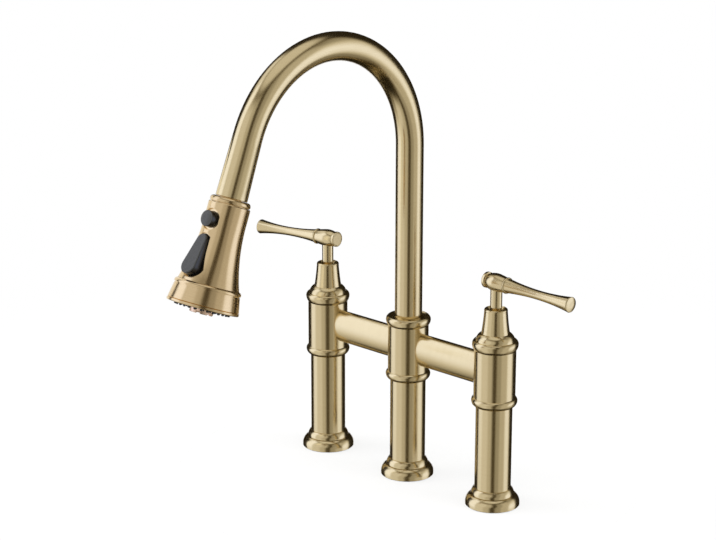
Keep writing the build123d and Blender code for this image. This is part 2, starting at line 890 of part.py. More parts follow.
# Spray head
def head_collar():
    spigot_start = collar_top - collar_spigot_length
    skirt_end = shell_top + collar_skirt_length
    lip_end = shell_top - 0.4
    chamfer_size = min(0.5, (collar_spigot_radius - collar_bore) / 2)
    solid = turned(
        (collar_bore, spigot_start),
        (collar_spigot_radius - chamfer_size, spigot_start),
        (collar_spigot_radius, spigot_start + chamfer_size),
        (collar_spigot_radius, collar_top),
        (tail_radius + 0.2, collar_top),
        (collar_radius + 0.1, collar_top + 0.45 * collar_height, collar_radius - 0.4, lip_end),
        (collar_radius - 0.9, lip_end),
        (collar_radius - 0.9, shell_top - fit),
        (collar_skirt_radius, shell_top - fit),
        (collar_skirt_radius, skirt_end),
        (collar_bore, skirt_end),
    )
    return in_head(solid)


def teardrop(side_margin, end_margin):
    # The rocker's outline with a margin at its sides and one at its ends. Its long way is Y and its
    # wide end is the lower one.
    big_radius = rocker_big_radius + side_margin
    small_radius = rocker_small_radius + side_margin
    big = rocker_half_length + end_margin - big_radius
    small = rocker_half_length + end_margin - small_radius
    lean = (big_radius - small_radius) / (small + big)
    rise = sqrt(1 - lean**2)
    big_touch = (big_radius * rise, big - big_radius * lean)
    small_touch = (small_radius * rise, -small - small_radius * lean)
    edges = [
        ThreePointArc((-big_touch[0], big_touch[1]), (0, big + big_radius), big_touch),
        Line(big_touch, small_touch),
        ThreePointArc(small_touch, (0, -small - small_radius), (-small_touch[0], small_touch[1])),
        Line((-small_touch[0], small_touch[1]), (-big_touch[0], big_touch[1])),
    ]
    return make_face(edges)


def rocker_plane():
    # The rocker's face: its Z points out of the face and its Y runs down the head.
    slope = radians(rocker_tilt)
    return Plane(
        origin=(0, rocker_face, rocker_station),
        x_dir=(-1, 0, 0),
        z_dir=(0, cos(slope), -sin(slope)),
    )


def seat_block(side_of_seat):
    # Everything above (+1) or below (-1) the rocker's seat plane.
    slope = radians(rocker_seat_slope)
    seat = Plane(origin=(0, rocker_seat, rocker_station), x_dir=(1, 0, 0), z_dir=(0, cos(slope), -sin(slope)))
    return seat * Pos(0, 0, side_of_seat * beyond / 2) * Box(beyond, beyond, beyond)


def head_shell():
    spigot_end = shell_end + shell_spigot_length
    solid = turned(
        (collar_skirt_radius + fit, shell_top),
        (shell_radius - 0.5, shell_top),
        (shell_radius, shell_top + 0.5),
        (shell_radius, flare_start),
        flare_step((shell_radius, flare_start), (shell_end_radius, shell_end)),
        (shell_spigot_radius, shell_end),
        (shell_spigot_radius, spigot_end),
        (shell_spigot_bore, spigot_end),
        (shell_spigot_bore, flange_top - fit),
        (shell_lower_cavity, flange_top - fit),
        (shell_lower_cavity, cavity_end + 9.0),
        (shell_cavity, cavity_end),
        (shell_cavity, shell_top + collar_skirt_length + fit),
        (collar_skirt_radius + fit, shell_top + collar_skirt_length + fit),
    )
    solid -= on_front(button_station) * rod(button_seat_radius, button_seat, 2 * shell_radius)
    solid -= on_front(button_station) * rod(button_radius + air, 0, 2 * shell_radius)
    pocket = rocker_plane() * extrude(teardrop(rocker_margin, rocker_end_margin), 30, both=True)
    window = rocker_plane() * extrude(teardrop(rocker_window_gap, rocker_window_gap), 30, both=True)
    front = Pos(0, beyond / 2, rocker_station) * Box(beyond, beyond, beyond)
    solid -= pocket & seat_block(1)
    solid -= window & front
    pin = crossways(pin_height, rocker_station) * Cylinder(pin_radius + fit / 2, pin_length + 2 * fit)
    return in_head(solid - pin)


def bezel_ring():
    ledge_end = bezel_top + bezel_ledge_height
    groove_end = ledge_end + bezel_groove
    lip_start = bezel_end - bezel_lip_height
    band_start = bezel_ledge_radius - 0.3
    band_end = bezel_end_radius - 0.4
    solid = turned(
        (bezel_bore, bezel_top),
        (shell_end_radius, bezel_top),
        (bezel_ledge_radius - 0.2, bezel_top + 0.35 * bezel_ledge_height, bezel_ledge_radius, ledge_end),
        (bezel_ledge_radius - 0.9, ledge_end),
        (bezel_ledge_radius - 0.9, groove_end),
        (band_start, groove_end),
        (band_end, lip_start - 0.4),
        (band_end - 0.5, lip_start),
        (bezel_end_radius, lip_start + 0.4),
        (bezel_end_radius, bezel_end - 0.9),
        (bezel_end_radius - 0.25, bezel_end - 0.25, bezel_end_radius - 0.9, bezel_end),
        (plate_radius - 0.6, bezel_end),
        (plate_radius - 0.6, plate_face),
        (plate_radius + fit, plate_face),
        (plate_radius + fit, plate_back - fit),
        (bezel_bore, plate_back - fit),
    )
    return in_head(solid)


def nozzle_points():
    points = []
    inner = core_hub_radius + nozzle_inner_edge
    outer = plate_radius - nozzle_outer_edge
    for ring_index, count in enumerate(nozzle_ring_counts):
        radius = inner + (outer - inner) * ring_index / (len(nozzle_ring_counts) - 1)
        for k in range(count):
            angle = 2 * pi * (k + 0.5) / count
            points.append((radius * cos(angle), radius * sin(angle)))
    return points


def spray_plate():
    sketch = Circle(plate_radius) - Circle(aerator_radius + fit)
    sketch -= Sketch() + [Pos(x, y) * Circle(nozzle_radius + fit) for x, y in nozzle_points()]
    return in_head(Pos(0, 0, plate_back) * extrude(sketch, plate_height - fit))


def nozzles():
    mat = rod(bezel_bore - fit, mat_back, plate_back - fit, core_hub_radius + fit)
    pegs = [Pos(x, y, 0) * nozzle_peg() for x, y in nozzle_points()]
    return in_head(mat + pegs)


def nozzle_peg():
    return turned(
        (0, plate_back - 2 * fit),
        (nozzle_radius, plate_back - 2 * fit),
        (nozzle_radius, nozzle_tip - 0.6),
        (0.65 * nozzle_radius, nozzle_tip),
        (0, nozzle_tip),
    )


def aerator():
    top = mat_back - aerator_top
    solid = turned(
        (0, top),
        (aerator_radius, top),
        (aerator_radius, bezel_end),
        (aerator_nose_radius + 0.2, bezel_end + 0.6 * aerator_reach),
        (aerator_nose_radius, aerator_tip),
        (aerator_nose_radius - 1.4, aerator_tip),
        (aerator_nose_radius - 1.6, aerator_tip - aerator_recess),
        (0, aerator_tip - aerator_recess),
    )
    return in_head(solid)


def waterway_core():
    flange_end = flange_top + core_flange_height
    hub_end = mat_back + mat_height
    nipple_end = nipple_start + nipple_length + nipple_stem_length
    valve_top = nipple_end + 0.5
    solid = turned(
        (nipple_stem_radius + running, core_top),
        (core_radius, core_top),
        (core_radius, flange_top - 4.0),
        (shell_lower_cavity - 1.0, flange_top),
        (shell_spigot_bore - fit, flange_top),
        (shell_spigot_bore - fit, flange_end),
        (core_hub_radius, flange_end),
        (core_hub_radius, hub_end),
        (aerator_radius + fit, hub_end),
        (aerator_radius + fit, mat_back - aerator_top - fit),
        (channel_radius, mat_back - aerator_top - fit),
        (channel_radius, valve_top + valve_length + 2 * fit),
        (valve_bore, valve_top + valve_length + 2 * fit),
        (valve_bore, valve_top),
        (nipple_stem_radius + running, valve_top),
    )
    flat = Pos(0, core_flat + beyond / 2, button_station) * Box(beyond, beyond, 2 * button_tab_reach + 2)
    solid -= flat
    solid -= on_front(button_station) * rod(plunger_radius + air, valve_bore - 0.4, core_radius + 1)
    tongue_height = core_radius - tongue_foot + air
    slot = Pos(0, tongue_foot - air + tongue_height, rocker_station)
    solid -= slot * Box(2 * tongue_half_width + 4 * air, 2 * tongue_height, 2 * tongue_half_length + 4.0)
    spool_bore = Pos(0, spool_offset, 0) * rod(spool_radius + running, *spool_span(1.6))
    return in_head(solid - spool_bore)


def spool_span(margin):
    middle = rocker_station
    half = spool_length / 2 + margin
    return (middle - half, middle + half)


def check_valve():
    nipple_end = nipple_start + nipple_length + nipple_stem_length
    top = nipple_end + 0.5 + fit
    solid = rod(valve_bore - fit, top, top + valve_length, passage_radius)
    return in_head(solid)


def diverter_spool():
    spool = rod(spool_radius, *spool_span(0))
    half = tongue_half_length + spool_notch
    notch = Pos(0, tongue_foot - spool_offset - spool_notch + 10, rocker_station) * Box(20, 20, 2 * half)
    return in_head(Pos(0, spool_offset, 0) * (spool - notch))


# Round button, its spring, and the rocker with its pin
def round_button():
    roof = button_face - button_roof
    crown = button_face + button_dome
    cup = turned(
        (0, roof),
        (button_hollow, roof),
        (button_hollow, button_foot),
        (button_radius, button_foot),
        (button_radius, button_face - 0.6),
        (button_radius - 0.2, button_face - 0.15, button_radius - 0.7, button_face),
        (0.6 * button_radius, crown - 0.25 * button_dome, 0.2 * button_radius, crown),
        (0, crown),
    )
    cup += rod(plunger_radius, plunger_reach, roof + 0.5)
    tabs = Box(button_tab_width, 2 * button_tab_reach, button_tab_height)
    tabs -= Cylinder(button_hollow, 4 * button_tab_height)
    cup += Pos(0, 0, button_foot + button_tab_height / 2) * tabs
    return in_head(on_front(button_station) * cup)


def button_spring():
    low = core_flat + spring_wire + fit
    high = button_face - button_roof - spring_wire - fit
    helix = Helix(pitch=(high - low) / spring_turns, height=high - low, radius=spring_radius)
    section = Plane(origin=helix @ 0, z_dir=helix % 0) * Circle(spring_wire)
    coil = sweep(section, path=helix, is_frenet=True)
    return in_head(on_front(button_station) * Pos(0, 0, low) * coil)


def rocker():
    block = extrude(teardrop(0, 0), -20)
    block = chamfer(block.faces().sort_by(Axis.Z)[-1].edges(), rocker_edge)
    block = rocker_plane() * block
    block &= Pos(0, -rocker_skirt, 0) * seat_block(1)
    seat_low = rocker_seat - rocker_skirt
    lug_height = seat_low - lug_foot + 2.0
    lug = Pos(0, lug_foot + lug_height / 2, rocker_station)
    block += lug * Box(2 * lug_half_width, lug_height, 2 * lug_half_length)
    tongue_height = lug_foot - tongue_foot + 1.0
    tongue = Pos(0, tongue_foot + tongue_height / 2, rocker_station)
    block += tongue * Box(2 * tongue_half_width, tongue_height, 2 * tongue_half_length)
    return in_head(block - crossways(pin_height, rocker_station) * Cylinder(pin_radius + running, pin_length))


def rocker_pin():
    return in_head(crossways(pin_height, rocker_station) * Cylinder(pin_radius, pin_length))


# All pieces by name
parts = {
    "centre_foot": foot(centre_socket_radius),
    "foot_gaskets": foot_gaskets(),
    "centre_leg": leg(),
    "lower_beads": Compound([Pos(x * column_pitch, 0, 0) * lower_bead() for x in (-1, 0, 1)]),
    "cross_body": cross_body(),
    "hose_sleeve": hose_sleeve(),
    "mixed_water_tube": mixed_water_tube(),
    "top_ring": top_ring(),
    "spout_bush": spout_bush(),
    "pipe_seals": pipe_seals(),
    "fixed_discs": fixed_discs(),
    "cartridge_nuts": cartridge_nuts(),
    "gooseneck_tube": gooseneck_tube(),
    "spout_clip": spout_clip(),
    "dock_sleeve": dock_sleeve(),
    "dock_magnet": dock_magnet(),
    "spray_hose": spray_hose(),
    "hose_lower_fitting": hose_lower_fitting(),
    "hose_ferrule": hose_ferrule(),
    "hose_nipple": hose_nipple(),
    "head_collar": head_collar(),
    "head_shell": head_shell(),
    "bezel_ring": bezel_ring(),
    "spray_plate": spray_plate(),
    "nozzles": nozzles(),
    "aerator": aerator(),
    "waterway_core": waterway_core(),
    "check_valve": check_valve(),
    "diverter_spool": diverter_spool(),
    "round_button": round_button(),
    "button_spring": button_spring(),
    "rocker": rocker(),
    "rocker_pin": rocker_pin(),
}
for name, side in side_columns.items():
    parts[name + "_foot"] = at_column(side, foot(inlet_socket_radius))
    parts[name + "_leg"] = at_column(side, leg())
    parts[name + "_valve_body"] = valve_body(side)
    parts[name + "_bridge_pipe"] = bridge_pipe(side)
    parts[name + "_bonnet"] = bonnet(side)
    parts[name + "_cone_sleeve"] = cone_sleeve(side)
    parts[name + "_cartridge"] = cartridge(side)
    parts[name + "_moving_disc"] = moving_disc(side)
    parts[name + "_spindle"] = spindle(side)
    parts[name + "_hub"] = hub(name)
    parts[name + "_hub_cap"] = hub_cap(name)
    parts[name + "_lever"] = lever(name)
    parts[name + "_set_screw"] = set_screw(name)

os.makedirs("parts", exist_ok=True)
for node, shape in parts.items():
    export_step(shape, "parts/" + node + ".step")
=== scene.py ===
from math import cos, pi, radians, sin

import bmesh
import bpy
from mathutils import Matrix, Vector


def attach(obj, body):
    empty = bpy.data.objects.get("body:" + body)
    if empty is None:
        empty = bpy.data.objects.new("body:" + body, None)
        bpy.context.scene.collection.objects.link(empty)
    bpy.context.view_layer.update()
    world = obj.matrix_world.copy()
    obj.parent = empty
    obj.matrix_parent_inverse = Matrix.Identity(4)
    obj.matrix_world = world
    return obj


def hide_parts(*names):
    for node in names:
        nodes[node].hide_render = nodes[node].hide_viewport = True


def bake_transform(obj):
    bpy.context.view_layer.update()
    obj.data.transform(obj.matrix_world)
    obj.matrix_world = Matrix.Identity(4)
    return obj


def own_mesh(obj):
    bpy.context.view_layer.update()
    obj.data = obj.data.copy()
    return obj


# Pull-out bridge faucet in brushed champagne gold. Metres, +Z up, the spout reaches towards -Y.

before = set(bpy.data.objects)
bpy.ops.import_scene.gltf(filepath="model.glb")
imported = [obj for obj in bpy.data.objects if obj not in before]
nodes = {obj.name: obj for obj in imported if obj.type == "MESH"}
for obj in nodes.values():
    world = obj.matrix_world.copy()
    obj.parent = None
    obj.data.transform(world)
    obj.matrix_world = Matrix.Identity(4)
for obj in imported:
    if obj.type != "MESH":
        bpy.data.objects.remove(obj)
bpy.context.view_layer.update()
print("frame loaded:", len(nodes), "nodes")

# The camera stands to the front right, a little above the object

cameraPlace = {
    "azimuth": 44.955,  # degrees round the object, 0 is the front
    "elevation": 15.967,
    "distance": 1.79216,
    "target": (-0.03143, -0.03139, 0.18898),
    "roll": 0.055,
    "lens": 103.06,
    "sensorWidth": 36,
    "clip": (0.05, 50),
}


def placeCamera():
    azimuth = radians(cameraPlace["azimuth"])
    elevation = radians(cameraPlace["elevation"])
    back = Vector((sin(azimuth) * cos(elevation), -cos(azimuth) * cos(elevation), sin(elevation)))
    right = Vector((cos(azimuth), sin(azimuth), 0))
    turn = Matrix((right, back.cross(right), back)).transposed()
    turn = turn @ Matrix.Rotation(radians(cameraPlace["roll"]), 3, "Z")
    stand = Vector(cameraPlace["target"]) + back * cameraPlace["distance"]
    camera = bpy.data.objects.new("camera", bpy.data.cameras.new("camera"))
    camera.data.lens = cameraPlace["lens"]
    camera.data.sensor_width = cameraPlace["sensorWidth"]
    camera.data.clip_start, camera.data.clip_end = cameraPlace["clip"]
    camera.matrix_world = Matrix.Translation(stand) @ turn.to_4x4()
    bpy.context.scene.collection.objects.link(camera)
    bpy.context.scene.camera = camera


placeCamera()
bpy.context.scene.view_settings.view_transform = "Standard"
print("camera placed")

# Small helpers for node trees


class Graph:
    # One node tree, with short ways to add its nodes and join them.
    def __init__(self, tree):
        self.tree = tree
        tree.nodes.clear()

    def add(self, kind, **inputs):
        node = self.tree.nodes.new(kind)
        for key, value in inputs.items():
            name = key.replace("_", " ")
            if name in node.inputs.keys():
                self.feed(node.inputs[name], value)
            else:
                setattr(node, key, value)
        return node

    def feed(self, socket, value):
        if isinstance(value, bpy.types.NodeSocket):
            self.tree.links.new(value, socket)
        else:
            socket.default_value = value

    def maths(self, operation, *values):
        node = self.add("ShaderNodeMath", operation=operation)
        for socket, value in zip(node.inputs, values):
            self.feed(socket, value)
        return node.outputs[0]

    def vector(self, x=0.0, y=0.0, z=0.0):
        return self.add("ShaderNodeCombineXYZ", X=x, Y=y, Z=z).outputs[0]

    def spread(self, value, low, high, newLow=0.0, newHigh=1.0, smooth=False):
        node = self.add("ShaderNodeMapRange", interpolation_type="SMOOTHSTEP" if smooth else "LINEAR")
        for name, number in zip(("Value", "From Min", "From Max", "To Min", "To Max"),
                                (value, low, high, newLow, newHigh)):
            self.feed(node.inputs[name], number)
        return node.outputs["Result"]

    def blendColours(self, factor, first, second):
        node = self.add("ShaderNodeMix", data_type="RGBA")
        for socket, value in zip((0, 6, 7), (factor, first, second)):
            self.feed(node.inputs[socket], value)
        return node.outputs[2]

    def showBackground(self):
        # 1 for the rays that see the background: the camera's, and those in metal and glass.
        path = self.add("ShaderNodeLightPath").outputs
        seen = self.maths("MAXIMUM", path["Is Camera Ray"], path["Is Glossy Ray"])
        return self.maths("MAXIMUM", seen, path["Is Transmission Ray"])

    def close(self, shader, kind="ShaderNodeOutputMaterial"):
        self.tree.links.new(shader.outputs[0], self.add(kind).inputs["Surface"])


def newMaterial(name):
    material = bpy.data.materials.new(name)
    material.use_nodes = True
    return material, Graph(material.node_tree)


def newFinish(name):
    material, graph = newMaterial(name)
    shader = graph.add("ShaderNodeBsdfPrincipled")
    graph.close(shader)
    return material, graph, shader


# Studio: a tent that the metal mirrors, a pale floor, and soft lamps

studio = {
    "tentRadius": 4.0,
    "tentCentre": (0, -0.08, 0.2),
    "tentRings": (48, 24),
    "baseLevel": 0.022,
    "leanTop": 26.0,  # degrees above the horizon where a leaning soft box has leaned all its way
    "tintScale": 1.4,
    "ambient": 0.62,
    "floorSize": 12.0,
    "floorDrop": 0.0004,
    "floorColour": (0.94, 0.94, 0.93, 1),
    "floorFade": (0.12, 0.7),  # from the middle, where the floor starts and ends to clear
    "floorClear": (0.72, 1.0),  # how clear it is there
    "lampAim": (0, -0.08, 0.18),
}

# Soft boxes on the tent: bearing from the camera (degrees, to the right positive) and height of the
# middle, half width and half height, how far it fades to the left, right, up and down, brightness,
# and how far it leans to the right higher up, where the spray head reflects it
softBoxes = {
    "leftWindow": ((-98, 22), (13, 26), (7, 22, 16, 66), 1.22, 0),
    "leftWindowHead": ((-132, 44), (12, 8), (14, 14, 10, 10), 0.9, 0),
    "leftWall": ((-62, -5), (18, 45), (18, 18, 20, 20), 0.79, 12),
    "leftWallNear": ((-32, -5), (11, 45), (16, 16, 20, 20), 0.6, 12),
    "darkCurtain": ((2, 0), (30, 60), (20, 20, 20, 20), 0.07, 12),
    "rightWallNear": ((26, -5), (12, 45), (12, 11, 20, 20), 0.4, 12),
    "rightWall": ((52, -5), (14, 45), (18, 18, 20, 20), 0.6, 12),
    "rightWindow": ((86, -5), (11, 5), (22, 16, 62, 60), 1.15, 12),
    "rightWindowHead": ((104, 34), (8, 8), (14, 16, 20, 16), 0.4, 0),
    "rightWindowFoot": ((108, -43), (12, 8), (14, 16, 14, 20), 0.3, 0),
    "backWindow": ((180, -17), (13, 5), (10, 10, 5, 9), 0.9, 0),
    "ceiling": ((0, 90), (180, 24), (1, 1, 14, 14), 0.75, 0),
}

# Tint of the tent by its brightness
tentTints = (
    (0.04, (1.0, 0.78, 0.42)),
    (0.35, (1.0, 0.96, 0.86)),
    (0.7, (1.0, 0.985, 0.97)),
    (1.15, (1.0, 1.07, 1.33)),
)


def addStage(name, mesh, material, mirrored):
    # Things round the object. A mirrored one shows in the object's metal alone, the others all but there.
    thing = bpy.data.objects.new(name, mesh)
    bpy.context.scene.collection.objects.link(thing)
    thing.visible_glossy = mirrored
    if mirrored:
        thing.visible_camera = False
        thing.visible_diffuse = False
        thing.visible_shadow = False
        thing.visible_volume_scatter = False
    mesh.materials.append(material)


def softBoxLevel(graph, bearing, height, box):
    # How bright one soft box is in a direction: full inside, fading out past its edges.
    (middle, level), (halfWidth, halfHeight), (left, right, up, down), bright, lean = box
    rise = graph.maths("SUBTRACT", height, level)
    leaned = graph.spread(height, 0.0, studio["leanTop"], 0.0, float(lean), True)
    turn = graph.maths("SUBTRACT", graph.maths("SUBTRACT", bearing, middle), leaned)
    turn = graph.maths("WRAP", turn, 180.0, -180.0)
    sides = ((turn, -1.0, halfWidth, left), (turn, 1.0, halfWidth, right),
             (rise, 1.0, halfHeight, up), (rise, -1.0, halfHeight, down))
    for distance, sign, edge, fade in sides:
        past = graph.maths("MULTIPLY", distance, sign)
        bright = graph.maths("MULTIPLY", graph.spread(past, edge, edge + fade, 1, 0, True), bright)
    return bright


def makeTent():
    mesh = bpy.data.meshes.new("studioTent")
    shell = bmesh.new()
    around, upright = studio["tentRings"]
    bmesh.ops.create_uvsphere(shell, u_segments=around, v_segments=upright, radius=studio["tentRadius"])
    bmesh.ops.reverse_faces(shell, faces=shell.faces[:])
    bmesh.ops.translate(shell, verts=shell.verts[:], vec=studio["tentCentre"])
    shell.to_mesh(mesh)
    shell.free()
    material, graph = newMaterial("tentLight")
    place = graph.add("ShaderNodeTexCoord").outputs["Object"]
    centred = graph.add("ShaderNodeMapping", vector_type="TEXTURE", Vector=place, Location=studio["tentCentre"],
                        Rotation=(0, 0, radians(cameraPlace["azimuth"] - 90)))
    axes = graph.add("ShaderNodeSeparateXYZ", Vector=centred.outputs[0]).outputs
    bearing = graph.maths("DEGREES", graph.maths("ARCTAN2", axes["Y"], axes["X"]))
    height = graph.maths("ARCSINE", graph.maths("DIVIDE", axes["Z"], studio["tentRadius"]))
    height = graph.maths("DEGREES", height)
    level = studio["baseLevel"]
    for box in softBoxes.values():
        level = graph.maths("MAXIMUM", softBoxLevel(graph, bearing, height, box), level)
    topLevel = tentTints[-1][0]
    tint = graph.add("ShaderNodeValToRGB", Fac=graph.maths("DIVIDE", level, topLevel))
    stops = tint.color_ramp.elements
    stops.remove(stops[-1])
    for k, (step, colour) in enumerate(tentTints):
        stop = stops[0] if k == 0 else stops.new(step / topLevel)
        stop.position = step / topLevel
        stop.color = (*(c / studio["tintScale"] for c in colour), 1)
    strength = graph.maths("MULTIPLY", level, studio["tintScale"])
    graph.close(graph.add("ShaderNodeEmission", Color=tint.outputs["Color"], Strength=strength))
    addStage("studioTent", mesh, material, True)


# A card beside and behind the spray head gives its far edge a pale line

sideCard = {
    "middle": (-0.134, -0.228, 0.235),
    "width": 0.14,
    "height": 0.2,
    "colour": (1, 0.99, 0.96, 1),
    "level": 1.0,
}


def makeSideCard():
    across, up = sideCard["width"] / 2, sideCard["height"] / 2
    corners = [(-across, 0, -up), (across, 0, -up), (across, 0, up), (-across, 0, up)]
    mesh = bpy.data.meshes.new("sideCard")
    mesh.from_pydata(corners, [], [(0, 1, 2, 3)])
    turn = Matrix.Rotation(radians(cameraPlace["azimuth"]), 4, "Z")
    mesh.transform(Matrix.Translation(sideCard["middle"]) @ turn)
    material, graph = newMaterial("cardLight")
    graph.close(graph.add("ShaderNodeEmission", Color=sideCard["colour"], Strength=sideCard["level"]))
    addStage("sideCard", mesh, material, True)


def makeFloor():
    # Pale near the feet, and clear further out, where the white world and a lowered spray head show.
    half, low = studio["floorSize"] / 2, -studio["floorDrop"]
    corners = [(-half, -half, low), (half, -half, low), (half, half, low), (-half, half, low)]
    mesh = bpy.data.meshes.new("floor")
    mesh.from_pydata(corners, [], [(0, 1, 2, 3)])
    material, graph = newMaterial("paleFloor")
    distance = graph.add("ShaderNodeVectorMath", operation="LENGTH")
    graph.feed(distance.inputs[0], graph.add("ShaderNodeTexCoord").outputs["Object"])
    far = graph.spread(distance.outputs["Value"], *studio["floorFade"], *studio["floorClear"], True)
    lit = graph.add("ShaderNodeBsdfDiffuse", Color=studio["floorColour"])
    clear = graph.add("ShaderNodeBsdfTransparent", Color=(1, 1, 1, 1))
    mixed = graph.add("ShaderNodeMixShader")
    graph.feed(mixed.inputs[0], graph.maths("MULTIPLY", graph.showBackground(), far))
    graph.feed(mixed.inputs[1], lit.outputs[0])
    graph.feed(mixed.inputs[2], clear.outputs[0])
    graph.close(mixed)
    addStage("floor", mesh, material, False)


def makeWorld():
    world = bpy.data.worlds.new("studioWorld")
    world.use_nodes = True
    bpy.context.scene.world = world
    graph = Graph(world.node_tree)
    strength = graph.spread(graph.showBackground(), 0.0, 1.0, studio["ambient"], 1.0)
    sky = graph.add("ShaderNodeBackground", Color=(1, 1, 1, 1), Strength=strength)
    graph.close(sky, "ShaderNodeOutputWorld")


softLamps = {
    "leftSoftbox": {"place": (-1.3, -0.9, 1.2), "size": 1.2, "power": 16},
    "rightSoftbox": {"place": (1.5, 0.5, 1.1), "size": 1.1, "power": 12},
    "topSoftbox": {"place": (0.1, -0.3, 2.1), "size": 1.5, "power": 14},
}


def makeLamps():
    for name, lamp in softLamps.items():
        data = bpy.data.lights.new(name, "AREA")
        data.shape = "SQUARE"
        data.size = lamp["size"]
        data.energy = lamp["power"]
        light = bpy.data.objects.new(name, data)
        light.location = lamp["place"]
        away = Vector(lamp["place"]) - Vector(studio["lampAim"])
        light.rotation_euler = away.to_track_quat("Z", "Y").to_euler()
        light.visible_camera = False
        light.visible_glossy = False
        bpy.context.scene.collection.objects.link(light)


makeTent()
makeSideCard()
makeFloor()
makeWorld()
makeLamps()
print("studio made")

# The gooseneck's middle line, and the spray head's own directions from the end of its bend

spoutPath = {"rise": 0.301, "bendRadius": 0.09665, "sweep": 158.7}


def bendPoint(angle):
    rise, radius = spoutPath["rise"], spoutPath["bendRadius"]
    return Vector((0, -radius * (1 - cos(angle)), rise + radius * sin(angle)))


bendAngle = radians(spoutPath["sweep"])
bendEnd = bendPoint(bendAngle)
headAxis = Vector((0, -sin(bendAngle), cos(bendAngle)))
headFront = Vector((0, cos(bendAngle), sin(bendAngle)))
headTurn = Matrix((Vector((1, 0, 0)), headFront, headAxis)).transposed()
headPlace = Matrix.Translation(bendEnd) @ headTurn.to_4x4()


def headPoint(across, outward, along):
    return bendEnd + Vector((across, 0, 0)) + headFront * outward + headAxis * along


# Brushed gold: fine lines round each turned piece's axis, with wider blotches

gold = {
    "colour": (0.75, 0.615, 0.352),
    "deep": (0.71, 0.57, 0.315),  # painted shade in the brushing's valleys, and the darker tone of the blotches
    "headTint": (1.015, 0.945, 0.93),  # the spray head is a little redder
    "lineWidth": 0.0003,
    "lineLength": 0.02,
    "lineDetail": (3.0, 0.6),
    "colourContrast": (0.32, 0.68),
    "roughContrast": (0.3, 0.7),
    "roughness": (0.16, 0.23),
    "blotchScale": 38.0,
    "blotchDetail": (2.0, 0.5),
    "blotchShare": 0.35,
    "bump": 0.02,
    "bumpDepth": 0.0002,
}

# Directions that the lathe lines go round, as a place on the axis and the turn of the axis
brushAxes = {
    "upright": ((0, 0, 0), (0, 0, 0)),
    "bridge": ((0, 0, 0.11935), (0, pi / 2, 0)),
    "head": (tuple(bendEnd), tuple(headTurn.to_euler())),
    "leftLever": ((-0.1016, 0, 0.1988), (0, radians(-91.76), radians(6.4))),
    "rightLever": ((0.1016, 0, 0.1988), (0, radians(91.76), 0)),
}


def brushedGold(name, axis, tint=(1, 1, 1)):
    material, graph, shader = newFinish(name)
    light, deep = ((*(c * t for c, t in zip(gold[key], tint)), 1) for key in ("colour", "deep"))
    location, rotation = brushAxes[axis]
    place = graph.add("ShaderNodeTexCoord").outputs["Object"]
    turned = graph.add("ShaderNodeMapping", vector_type="TEXTURE", Vector=place, Location=location,
                       Rotation=rotation)
    stretch = graph.add("ShaderNodeVectorMath", operation="MULTIPLY")
    graph.feed(stretch.inputs[0], turned.outputs[0])
    graph.feed(stretch.inputs[1], (1 / gold["lineLength"], 1 / gold["lineLength"], 1 / gold["lineWidth"]))
    detail, rough = gold["lineDetail"]
    lines = graph.add("ShaderNodeTexNoise", Vector=stretch.outputs[0], Scale=1.0, Detail=detail,
                      Roughness=rough).outputs["Fac"]
    detail, rough = gold["blotchDetail"]
    blotch = graph.add("ShaderNodeTexNoise", Vector=turned.outputs[0], Scale=gold["blotchScale"],
                       Detail=detail, Roughness=rough).outputs["Fac"]
    # Painted shade: the brushing lines' valleys take the darker colour, their ridges the lighter one
    colour = graph.blendColours(graph.spread(lines, *gold["colourContrast"]), deep, light)
    colour = graph.blendColours(gold["blotchShare"], colour, graph.blendColours(blotch, deep, light))
    graph.feed(shader.inputs["Base Color"], colour)
    low, high = gold["roughness"]
    graph.feed(shader.inputs["Roughness"], graph.spread(lines, *gold["roughContrast"], high, low))
    shader.inputs["Metallic"].default_value = 1.0
    bump = graph.add("ShaderNodeBump", Strength=gold["bump"], Distance=gold["bumpDepth"], Height=lines)
    graph.feed(shader.inputs["Normal"], bump.outputs[0])
    return material


# Moulded, machined or rubbed surfaces: a fine grain in colour, roughness and height

plainGrain = {
    "size": 0.0012,
    "detail": (2.0, 0.55),
    "contrast": (0.3, 0.7),
    "roughness": (0.88, 1.12),  # times the finish's own
    "bumpDepth": 0.0002,
}


def plainFinish(name, colour, roughness, metallic=0.0, speckle=0.06, bump=0.04, coat=0.0):
    material, graph, shader = newFinish(name)
    place = graph.add("ShaderNodeTexCoord").outputs["Object"]
    detail, rough = plainGrain["detail"]
    grain = graph.add("ShaderNodeTexNoise", Vector=place, Scale=1 / plainGrain["size"], Detail=detail,
                      Roughness=rough).outputs["Fac"]
    darker = tuple(c * (1 - speckle) for c in colour)
    graph.feed(shader.inputs["Base Color"], graph.blendColours(grain, (*darker, 1), (*colour, 1)))
    low, high = (roughness * share for share in plainGrain["roughness"])
    graph.feed(shader.inputs["Roughness"], graph.spread(grain, *plainGrain["contrast"], low, high))
    shader.inputs["Metallic"].default_value = metallic
    shader.inputs["Coat Weight"].default_value = coat
    raised = graph.add("ShaderNodeBump", Strength=bump, Distance=plainGrain["bumpDepth"], Height=grain)
    graph.feed(shader.inputs["Normal"], raised.outputs[0])
    return material


